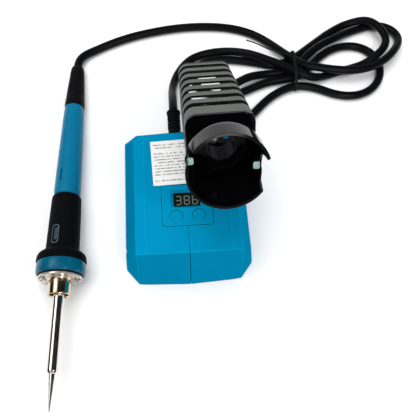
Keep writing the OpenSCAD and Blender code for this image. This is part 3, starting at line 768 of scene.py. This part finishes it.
def add_mouth():
    ys = [0, 0.8, 2, 4, 6.5, 8, 9.5, 11, 12.2, 13, 13.8, 14.5, 15, 15.5, 16, 16.8, 18, 20, 22.5, 25, 27,
          28.45]

    def radius(y):
        return np.interp(y, [0, 12, 13.6, 15.3, 28.45], [21, 20.4, 20.2, 19.6, 14.2])

    def angle(z, y):
        return math.acos(max(-1, min(1, z / radius(y))))

    def ease(y, y0, y1, z0, z1):
        return z1 + (z0 - z1) * math.sqrt(max(0.0, (y1 - y) / (y1 - y0)))

    def edges(y):
        right_top = np.interp(y, [0, 8, 13], [5.6, 3.8, 2]) if y < 13 else ease(y, 13, 15.5, 2, -2)
        right_low = np.interp(y, [0, 9, 14.5],
                              [-12, -10.3, -6]) if y < 14.5 else ease(y, 14.5, 15.5, -6, -2)
        left_top = 12.4 - 2.8 * y / 13.6 if y < 13.6 else ease(y, 13.6, 16, 9.6, 5)
        left_low = 6.3 - 4.3 * y / 12.5 if y < 12.5 else ease(y, 12.5, 16, 2, 5)
        if y >= 15.5:
            right_top = right_low = -2
        if y >= 16:
            left_top = left_low = 5
        return (-angle(left_top, y), angle(right_top, y), angle(right_low, y),
                2 * math.pi - angle(left_low, y))

    points, faces = [], []
    for which, columns in ((0, 44), (1, 64)):
        base = len(points)
        rows = 0
        for y in ys:
            k0, k1, k2, k3 = edges(y)
            a0, a1 = (k0, k1) if which == 0 else (k2, k3)
            for i in range(columns):
                a = a0 + (a1 - a0) * i / (columns - 1)
                points.append((radius(y) * math.sin(a), y, radius(y) * math.cos(a)))
            rows += 1
        for r, y in ((9.75, 28.45), (9.75, 35)):
            k0, k1, k2, k3 = edges(30 - 1.6)
            a0, a1 = (k0, k1) if which == 0 else (k2, k3)
            for i in range(columns):
                a = a0 + (a1 - a0) * i / (columns - 1)
                points.append((r * math.sin(a), y, r * math.cos(a)))
            rows += 1
        faces += [tuple(i + base for i in f) for f in grid_faces(rows, columns)]
    mouth = mesh_object("flared_mouth", points, faces, HOLDER)
    outward(mouth)
    thicken(mouth, 1.6)
    settle(mouth)
    dress(mouth, "black_gloss", "station", ["holder_mouth"])
    soften(mouth, 0.45, 3, 40)


def add_clips():
    """Two spring clips: a strip along the mouth's wall, with an ear bent inwards."""
    for name, ear, strip in (("clip_right", (13.4, 16.9, 8.6, -4.2, 0),
                              (16.1, 16.9, 9.4, 19.1, -4.2, -2.6)),
                             ("clip_left", (-19.4, -16.2, 5.2, 2.9, 6.8),
                              (-18.6, -17.8, 6, 14.2, 2.9, 4.5))):
        x0, x1, y, z0, z1 = ear
        outline = round_rect(x1 - x0, z1 - z0, 0.9, ((x0 + x1) / 2, (z0 + z1) / 2))
        n = len(outline)
        points = [(x, y, z) for x, z in outline] + [(x, y + 0.8, z) for x, z in outline]
        faces = ([tuple(range(n)), tuple(range(n, 2 * n))[::-1]]
                 + [(k, (k + 1) % n, n + (k + 1) % n, n + k) for k in range(n)])
        made = mesh_object(name, points, faces, HOLDER)
        dress(made, "steel", "station", ["side_clips"], finish="ear_steel_teal_reflection")
        soften(made, 0.2, 2, 40)
        a0, a1, b0, b1, c0, c1 = strip
        box = [(a, b, c) for c in (c0, c1) for b in (b0, b1) for a in (a0, a1)]
        made = mesh_object(name + "_strip", box,
                           [(0, 1, 3, 2), (4, 5, 7, 6), (0, 1, 5, 4), (2, 3, 7, 6), (0, 2, 6, 4),
                            (1, 3, 7, 5)],
                           HOLDER)
        dress(made, "steel", "station", finish="sleeve_steel")
        soften(made, 0.2, 2, 40)


# ---- iron, turned about its own axis
def add_iron():
    tip = turned("needle_tip", [(0, POINT), (0.35, POINT - 0.5),
                                (2.05, 58.4), (2.1, 57.4), (2.1, 52.4), (2.8, 52.2), (2.8, 16),
                                (2, 16), (2, 48), (0, 48)], IRON, 64, 0.25)
    dress(tip, "steel", "iron", ["tip"], finish="barrel_steel")
    tube_outline = [(2.9, -16), (3.4, -16), (3.4, 1.02), (5.4, 1.02), (5.4, 2), (3.4, 2), (3.4, 55),
                    (2.9, 56.4),
                    (2.2, 56.4), (2.2, 52.5), (2.9, 52.5)]
    dress(turned("steel_barrel", tube_outline, IRON, 96, 0.3), "steel", "iron", ["barrel"],
          finish="barrel_steel")
    ring = [(13.4, -9.6), (14.9, -9.6), (15.1, -7), (15.1, -4), (14.7, -2.2), (14.1, -1.4),
            (13.4, -1.3)]
    dress(turned("teal_ring", ring, IRON, 128, 0.7), "teal_gloss", "iron", ["front_ring"])
    grip = [(6.6, -56.7), (8.4, -56.7), (9.1, -56.2), (9.5, -54.9), (10.0, -38), (10.35, -20),
            (10.7, -17.2), (12.6, -16.4),
            (14.4, -15), (15.2, -13.2), (FLANGE_R, -11), (FLANGE_R, -9.6), (13.35, -9.6), (13.35, -0.4),
            (6.6, -0.4)]
    dress(turned("soft_grip", grip, IRON, 128, 0.6), "grip_black", "iron", ["grip"])
    add_grip_mark()
    add_collar()
    add_handle()
    add_boot()


def add_grip_mark():
    """A plain printed outline with three plain strokes on the grip, in place of its lettering."""
    outline = rounded([(-32.6, 2.3), (-20.2, 2.3), (-20.2, -2.3), (-32.6, -2.3)], 2.1, 6)
    loops = [(outline, [(z - math.copysign(0.3, z + 26.4), u - math.copysign(0.3, u))
                        for z, u in outline])]
    for u in (-1.3, -0.7, 0.1):
        stroke = [(-30.6, u), (-22.4, u), (-22.4, u + 0.22), (-30.6, u + 0.22)]
        loops.append((stroke, [(-26.5, u + 0.11)] * 4))
    points, faces = [], []
    for outer, inner in loops:
        base, n = len(points), len(outer)
        for z, across in (*outer, *inner):
            radius = np.interp(z, [-38, -20], [10.0, 10.35]) + 0.04
            a = math.radians(107) + across / radius
            points.append((radius * math.cos(a), radius * math.sin(a), z))
        faces += [(base + k, base + (k + 1) % n, base + n + (k + 1) % n,
                   base + n + k) for k in range(n)]
    dress(mesh_object("grip_mark", points, faces, IRON), "grip_black", "iron", finish="mark_grey")


def add_collar():
    """The plate and the collar that stands on it, which are one part with two finishes."""
    flange = turned("collar_flange", [(3.5, 1), (3.5, -0.4), (13.5, -0.4), (13.5, 1)], IRON, 128, 0.3)
    holes = [prism("hole", disc(1.2, 24, at), -3, 3, IRON) for at in PLATE_SCREWS]
    holes.append(prism("slot", round_rect(0.9, 3, 0.35, (-8.55, 2.1)), -3, 3, IRON))
    holes.append(prism("slot", round_rect(1.2, 3.6, 0.5, (10.5, 0)), -3, 3,
                       IRON @ Matrix.Rotation(math.radians(218), 4, "Z")))
    dress(cut(flange, *holes), "nickel", "iron", ["collar_plate"])
    collar = [(5.6, 0.9), (5.6, 10.2), (6.2, 11), (6.9, 11), (7.1, 10.5), (7, 9.9), (7, 1.8),
              (7.8, 0.9)]
    dress(turned("collar_tube", collar, IRON, 128, 0.25), "nickel", "iron", finish="collar_brass")


TUBE_Z, TUBE_R = (-120, -92, -72, -61.3), (7.3, 8.05, 8.5, 8.7)


def add_handle():
    # short rows along the tube keep its shading even beside the slots
    tube = [(float(np.interp(z, TUBE_Z, TUBE_R)),
             float(z)) for z in np.linspace(TUBE_Z[0], TUBE_Z[-1], 16)]
    outline = [(5, -130.6), (6.85, -130.6), *tube, (8.6, -58.9), (8.2, -57.5), (7.4, -56.7),
               (6.55, -56.7), (6.55, -1), (3.6, -1), (3.6, -16), (5, -18)]
    handle = turned("teal_handle", outline, IRON, 128, 0.6)
    slots = []
    for degrees, z in ((112, -75), (160, -78), (150, -123)):
        slot = prism("slot", round_rect(6, 1.1, 0.5, (7, 0)), z, z + 9.4,
                     IRON @ Matrix.Rotation(math.radians(degrees), 4, "Z"))
        slots.append(slot)
    dress(cut(handle, *slots), "teal_gloss", "iron", ["handle"], finish="teal_handle")


def add_boot():
    outline = [(0, -125.8), (4.95, -125.8), (4.95, -130.6), (6.95, -130.6), (BOOT_R, -131.8),
               (BOOT_R, -BOOT_SEAT), (6.8, -138),
               (6.45, -143.2)]
    for i in range(6):
        z = -143.6 - 3.6 * i + 1.2
        wide = 6.8 - (6.8 - 5) * (abs(z) - 138) / 28
        outline += [(wide, z), (wide - 0.6, z - 0.25), (wide - 0.6, z - 1.0), (wide - 0.05, z - 1.25)]
    outline += [(5, -166), (4.5, 0.6 - REAR), (4.1, -REAR), (0, -REAR)]
    dress(turned("cord_boot", outline, IRON, 96, 0.25), "rubber", "iron", ["boot"])


# ---- wire tie round the bundle
def add_tie():
    corners = [(-11.6, 3.9), (14, 3.9), (12.6, 10.2), (-3, 10.3)]
    loop = []
    reach = 3.55
    n = len(corners)
    for i, (y, z) in enumerate(corners):
        before, after = corners[i - 1], corners[(i + 1) % n]
        a0 = math.atan2(z - before[1], y - before[0]) - math.pi / 2
        a1 = math.atan2(after[1] - z, after[0] - y) - math.pi / 2
        while a1 < a0:
            a1 += 2 * math.pi
        for a in np.linspace(a0, a1, 9):
            loop.append((y + reach * math.cos(a), z + reach * math.sin(a), a))
    points = []
    section = [(-1.1, -0.1), (-0.9, -0.22), (0.9, -0.22), (1.1, -0.1), (1.1, 0.1), (0.3, 0.18),
               (0.25, 0.3), (-0.25, 0.3),
               (-0.3, 0.18), (-1.1, 0.1)]
    for y, z, a in loop:
        for across, out in section:
            points.append((90.3 + across, 105.6 + y + out * math.cos(a), z + out * math.sin(a)))
    columns = len(section)
    closed = [(i % len(loop)) for i in range(len(loop) + 1)]
    faces = []
    for i, j in zip(closed, closed[1:]):
        for k in range(columns):
            m = (k + 1) % columns
            faces.append((i * columns + k, i * columns + m, j * columns + m, j * columns + k))
    band = mesh_object("tie_band", points, faces)
    dress(band, "black_plastic", "station", ["cord_tie"])
    start, way = np.array((88.9, 113, 14.6)), np.array((-0.8, 0.58, -0.156))
    line = [start + way * 41 * t + np.array((0, 0,
                                             0.5 * math.sin(3 * math.pi * t)))
              for t in np.linspace(0, 1, 24)]
    loose = tube("tie_end", np.array(line), 0.5, 12)
    dress(loose, "black_plastic", "station")
    return band, loose


add_shell()
add_button("cap_up", -BUTTON_X, "button_up")
add_button("cap_down", BUTTON_X, "button_down")
add_label()
add_strain_relief()
add_cage()
add_mouth()
add_clips()
add_iron()
tie_band, tie_end = add_tie()

# ---- finishes of the CAD nodes that stay
for row in frame["record"]["subparts"]:
    part = frame["nodes"][row["node"]]
    part.data.materials.clear()
    finish = "sleeve_steel" if row["node"] == "neck_sleeve" else row["material_slot"]
    part.data.materials.append(MATERIALS[finish])


# ---- studio
def add_studio():
    mesh = bpy.data.meshes.new("floor")
    mesh.from_pydata([(-3, -3, 0), (3, -3, 0), (3, 3, 0), (-3, 3, 0)], [], [(0, 1, 2, 3)])
    floor = bpy.data.objects.new("floor", mesh)
    scene.collection.objects.link(floor)
    mat, tree, shader = new_material("floor")
    coords = tree.nodes.new("ShaderNodeTexCoord").outputs["Object"]
    tree.links.new(blend_colors(tree, noise(tree, coords, 6.0), (0.88, 0.88, 0.885), (0.9, 0.9, 0.9)),
                   shader.inputs["Base Color"])
    shader.inputs["Roughness"].default_value = 0.9
    shader.inputs["Specular IOR Level"].default_value = 0.1
    mesh.materials.append(mat)
    world = bpy.data.worlds.new("studio")
    world.use_nodes = True
    scene.world = world
    world.node_tree.nodes["Background"].inputs["Color"].default_value = (1, 1, 1, 1)
    world.node_tree.nodes["Background"].inputs["Strength"].default_value = WORLD_GREY
    add_light("overhead", (-0.2, 0.15, 1.1), (0.0, 0.03, 0.0), 1.2, 11, glossy=False)
    add_light("gloss_strip", (-0.66, 0.2, 1.0), (-0.08, -0.08, 0.02), 0.75, 2.6, diffuse=False)
    add_light("front_strip", (0.1, -0.95, 0.42), (0.03, -0.04, 0.09), 0.3, 2, diffuse=False)
    add_light("window", (0.28, -0.32, 0.62), (0.02, -0.02, 0.09), 0.1, 1.2)
    add_card("card_right", -8, 86)
    add_card("card_left", -89, -47)


def add_card(name, start, end, reach=CARD_REACH, steps=12):
    """A dark curved card behind the lights, which only reflections see.

    Its angles are in degrees from straight up, positive to the right.
    """
    turns = [math.radians(start + (end - start) * i / steps) for i in range(steps + 1)]
    points = [(reach * math.sin(t), y, reach * math.cos(t)) for t in turns for y in (-2.2, 2.2)]
    mesh = bpy.data.meshes.new(name)
    mesh.from_pydata(points, [], [(2 * i, 2 * i + 1, 2 * i + 3, 2 * i + 2) for i in range(steps)])
    card = bpy.data.objects.new(name, mesh)
    scene.collection.objects.link(card)
    mat, tree, shader = new_material(name)
    coords = tree.nodes.new("ShaderNodeTexCoord").outputs["Object"]
    tree.links.new(blend_colors(tree, noise(tree, coords, 3.0), (0.01, 0.01, 0.01), (0.02, 0.02, 0.02)),
                   shader.inputs["Base Color"])
    shader.inputs["Roughness"].default_value = 0.9
    mesh.materials.append(mat)
    card.visible_camera = card.visible_diffuse = card.visible_shadow = card.visible_transmission = False


def add_light(name, at, target, size, power, diffuse=True, glossy=True):
    light = bpy.data.lights.new(name, "AREA")
    light.shape = "RECTANGLE"
    light.size, light.size_y = size, size * 0.7
    light.energy = power
    obj = bpy.data.objects.new(name, light)
    obj.location = at
    obj.visible_diffuse, obj.visible_glossy = diffuse, glossy
    obj.rotation_euler = (Vector(target) - Vector(at)).to_track_quat("-Z", "Y").to_euler()
    scene.collection.objects.link(obj)


add_studio()
